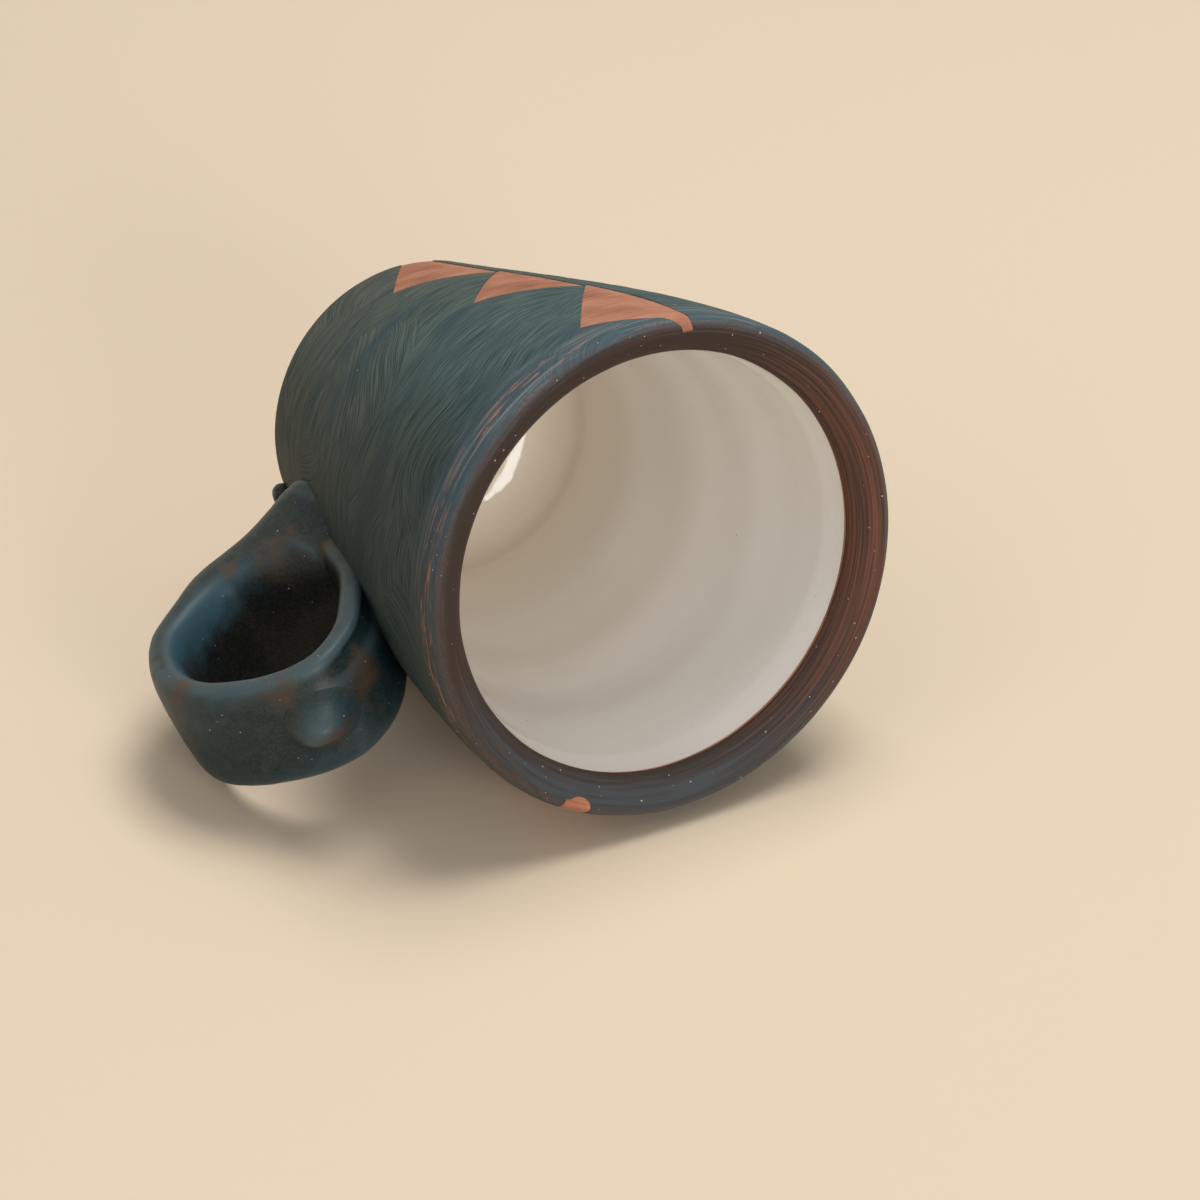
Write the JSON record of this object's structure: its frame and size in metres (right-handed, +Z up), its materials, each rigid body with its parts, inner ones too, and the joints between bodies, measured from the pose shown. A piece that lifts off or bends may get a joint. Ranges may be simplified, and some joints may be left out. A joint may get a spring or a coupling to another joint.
{
  "type": "espresso mug",
  "caption": "Small hand-thrown espresso mug: tapered clay wall, rolled strap handle with a thumb pellet, white glazed inside, slip-coated outside with bare clay triangles.",
  "frame": {"origin": "centre of the foot's underside", "axes": "+Z up along the mug's turning axis, +X towards the handle"},
  "size_m": [0.09, 0.066, 0.0712],
  "materials": {
    "red_clay": "bare fired red clay, matte",
    "wall_slip": "brushed teal-grey slip, matte",
    "white_glaze": "glossy off-white glaze",
    "handle_slip": "rubbed blue-grey slip, satin"
  },
  "bodies": {
    "root": {"clay_body": "red_clay", "slip_coat": "wall_slip", "glaze_lining": "white_glaze", "handle_strap": "handle_slip", "thumb_pellet": "handle_slip", "root_dab": "handle_slip"}
  },
  "joints": []
}
